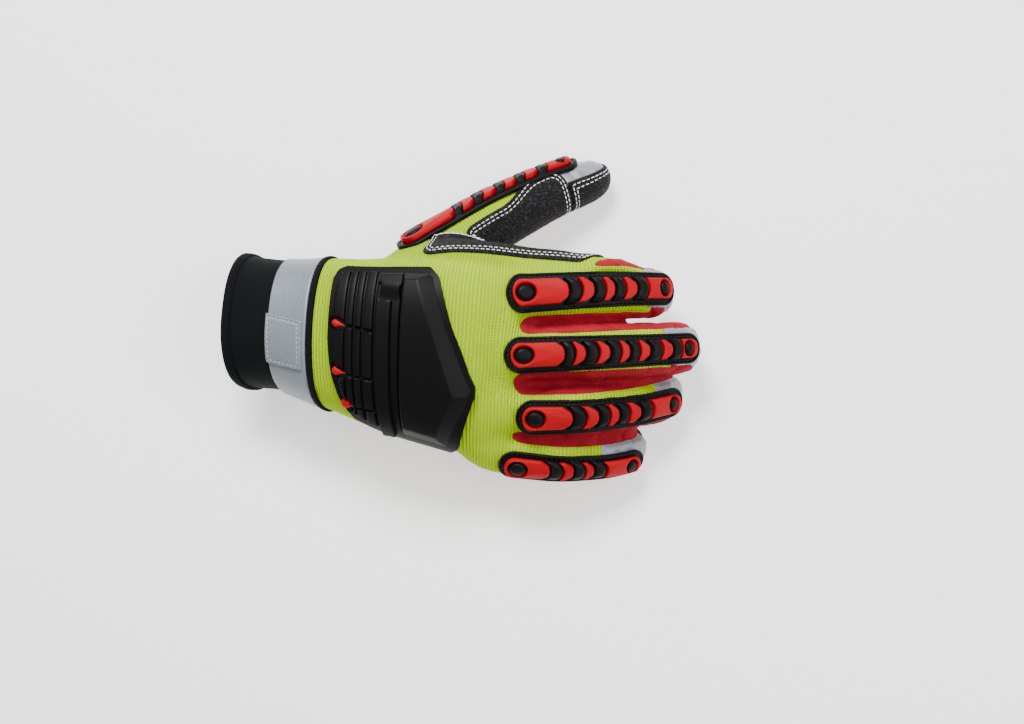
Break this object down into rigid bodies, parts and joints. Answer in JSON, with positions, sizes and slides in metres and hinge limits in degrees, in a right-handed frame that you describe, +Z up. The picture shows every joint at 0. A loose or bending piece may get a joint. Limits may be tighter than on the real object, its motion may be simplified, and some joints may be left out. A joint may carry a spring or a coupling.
{
  "type": "impact protection work glove",
  "caption": "Work glove for a right hand, empty but hand-shaped, with ribbed knit back, rubber impact guards on fingers and back of hand, suede palm, grip patches and neoprene cuff.",
  "frame": {"origin": "on the surface the glove rests on, under the middle of its box", "axes": "+X from the cuff to the fingertips, +Y towards the thumb, +Z up; it rests palm down"},
  "size_m": [0.2606, 0.1926, 0.0831],
  "materials": {
    "knit": "ribbed stretch knit, matt",
    "suede": "brushed synthetic suede, matt",
    "sidewall": "smooth stretch fabric, matt",
    "grip": "looped grip cloth, matt",
    "reflective": "woven reflective tape, satin",
    "neoprene": "cloth-faced foam, matt",
    "guard_rubber": "moulded, satin",
    "red_rubber": "moulded, satin",
    "tab_rubber": "moulded, matt"
  },
  "bodies": {
    "root": {"hand_back": "knit", "palm": "suede", "index_sidewall": "sidewall", "index_middle_sidewall": "sidewall", "middle_ring_sidewall": "sidewall", "ring_little_sidewall": "sidewall", "little_sidewall": "sidewall", "index_back": "knit", "index_front": "suede", "middle_back": "knit", "middle_front": "suede", "ring_back": "knit", "ring_front": "suede", "little_back": "knit", "little_front": "suede", "thumb_back": "knit", "thumb_front": "suede", "index_reflective_tip": "reflective", "middle_reflective_tip": "reflective", "ring_reflective_tip": "reflective", "little_reflective_tip": "reflective", "thumb_reflective_tip": "reflective", "index_guard": "guard_rubber", "index_guard_inlay": "red_rubber", "middle_guard": "guard_rubber", "middle_guard_inlay": "red_rubber", "ring_guard": "guard_rubber", "ring_guard_inlay": "red_rubber", "little_guard": "guard_rubber", "little_guard_inlay": "red_rubber", "thumb_guard": "guard_rubber", "thumb_guard_inlay": "red_rubber", "back_guard": "guard_rubber", "back_guard_inlay_1": "red_rubber", "back_guard_inlay_2": "red_rubber", "back_guard_inlay_3": "red_rubber", "thumb_saddle_patch": "grip", "thumb_flank_patch": "grip", "index_fingertip_patch": "grip", "middle_fingertip_patch": "grip", "ring_fingertip_patch": "grip", "little_fingertip_patch": "grip", "thumb_fingertip_patch": "grip", "index_patch": "grip", "middle_patch": "grip", "palm_heel_patch": "grip", "cuff": "neoprene", "cuff_hem": "neoprene", "wrist_binding": "neoprene", "cuff_band": "reflective", "cuff_label": "reflective", "closure_strap": "reflective", "strap_tab": "tab_rubber"}
  },
  "joints": []
}
